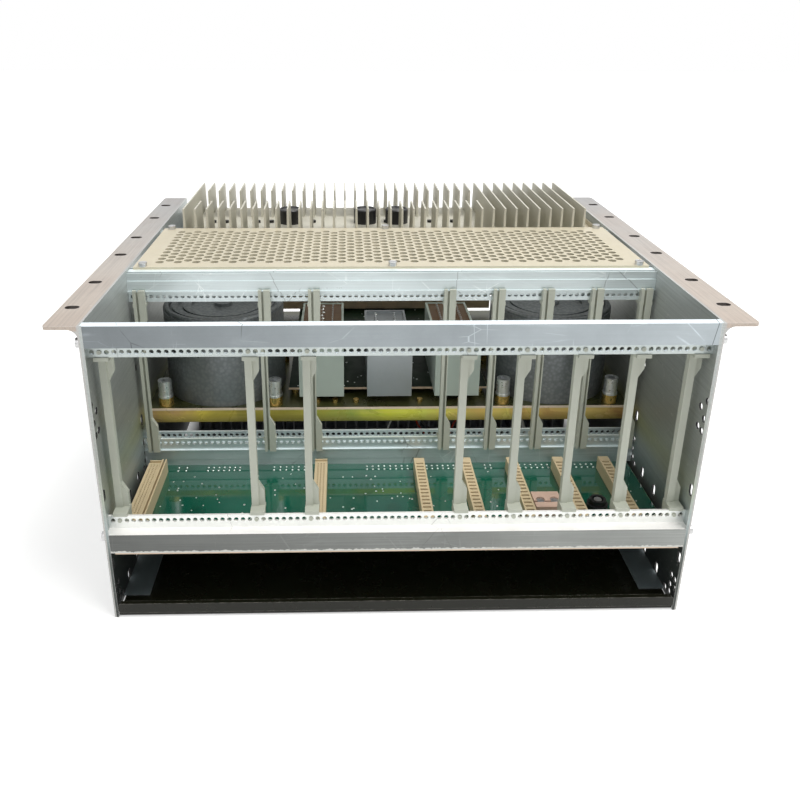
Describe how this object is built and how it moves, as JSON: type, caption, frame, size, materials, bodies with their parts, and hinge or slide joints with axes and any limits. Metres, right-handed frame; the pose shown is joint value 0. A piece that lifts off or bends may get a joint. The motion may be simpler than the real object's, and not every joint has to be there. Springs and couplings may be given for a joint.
{
  "type": "subrack card cage",
  "caption": "Rack-mount subrack with an open card cage, perforated cover panel, finned heatsinks and perforated rails, standing on its rear edges",
  "frame": {"origin": "centre of the underside, under the middle of the overall box, on the plane of the rear edges that the object stands on", "axes": "+Z points out of the rack front, +X runs along the rack width, +Y runs along the rack height from the card cage tier to the heatsink tier"},
  "size_m": [0.4826, 0.3992, 0.2585],
  "materials": {
    "plate_aluminium": "drawn aluminium with fine scratches",
    "rail_aluminium": "extruded aluminium with draw lines",
    "screw_steel": "zinc plated",
    "screw_bright": "bright nickel",
    "dark_screw": "blackened",
    "guide_plastic": "moulded, matt",
    "board_green": "glossy solder mask",
    "board_dark": "glossy solder mask",
    "connector_plastic": "moulded",
    "block_plastic": "moulded",
    "black_plastic": "satin",
    "cover_black": "glossy dark enamel",
    "strip_grey": "satin",
    "panel_cream": "satin enamel",
    "heatsink_light": "bead blasted",
    "heatsink_dark": "dull dark anodised",
    "deck_gold": "yellow chromate",
    "can_grey": "hammered grey enamel",
    "brass_gold": "plain",
    "module_white": "moulded",
    "module_grey": "satin metallic",
    "lid_brown": "cast resin"
  },
  "bodies": {
    "root": {"side_plate_left": "plate_aluminium", "side_plate_right": "plate_aluminium", "front_rail_near": "rail_aluminium", "rear_rail_near": "rail_aluminium", "front_rail_centre": "rail_aluminium", "rear_rail_centre": "rail_aluminium", "front_rail_middle": "rail_aluminium", "rear_rail_middle": "rail_aluminium", "front_rail_far": "rail_aluminium", "rear_rail_far": "rail_aluminium", "rail_screws": "screw_steel", "card_guides_near": "guide_plastic", "card_guides_centre": "guide_plastic", "backplane": "board_green", "pin_connectors": "connector_plastic", "connector_strip": "connector_plastic", "slot_connectors": "connector_plastic", "terminal_block": "block_plastic", "terminal_screws": "screw_steel", "round_socket": "black_plastic", "socket_screw": "screw_steel", "rear_cover": "cover_black", "cover_strips": "strip_grey", "perforated_panel": "panel_cream", "panel_screws": "screw_steel", "front_heatsink": "heatsink_light", "heatsink_edge": "panel_cream", "capacitors": "black_plastic", "gap_screws": "dark_screw", "rear_heatsink": "heatsink_dark", "deck_plate": "deck_gold", "transformer_cans": "can_grey", "can_rings": "can_grey", "can_spacers": "brass_gold", "can_screws": "screw_bright", "deck_screws": "brass_gold", "inner_board": "board_dark", "board_posts": "brass_gold", "outer_modules": "module_white", "module_lids": "lid_brown", "middle_module": "module_grey", "module_pins": "screw_bright"}
  },
  "joints": []
}
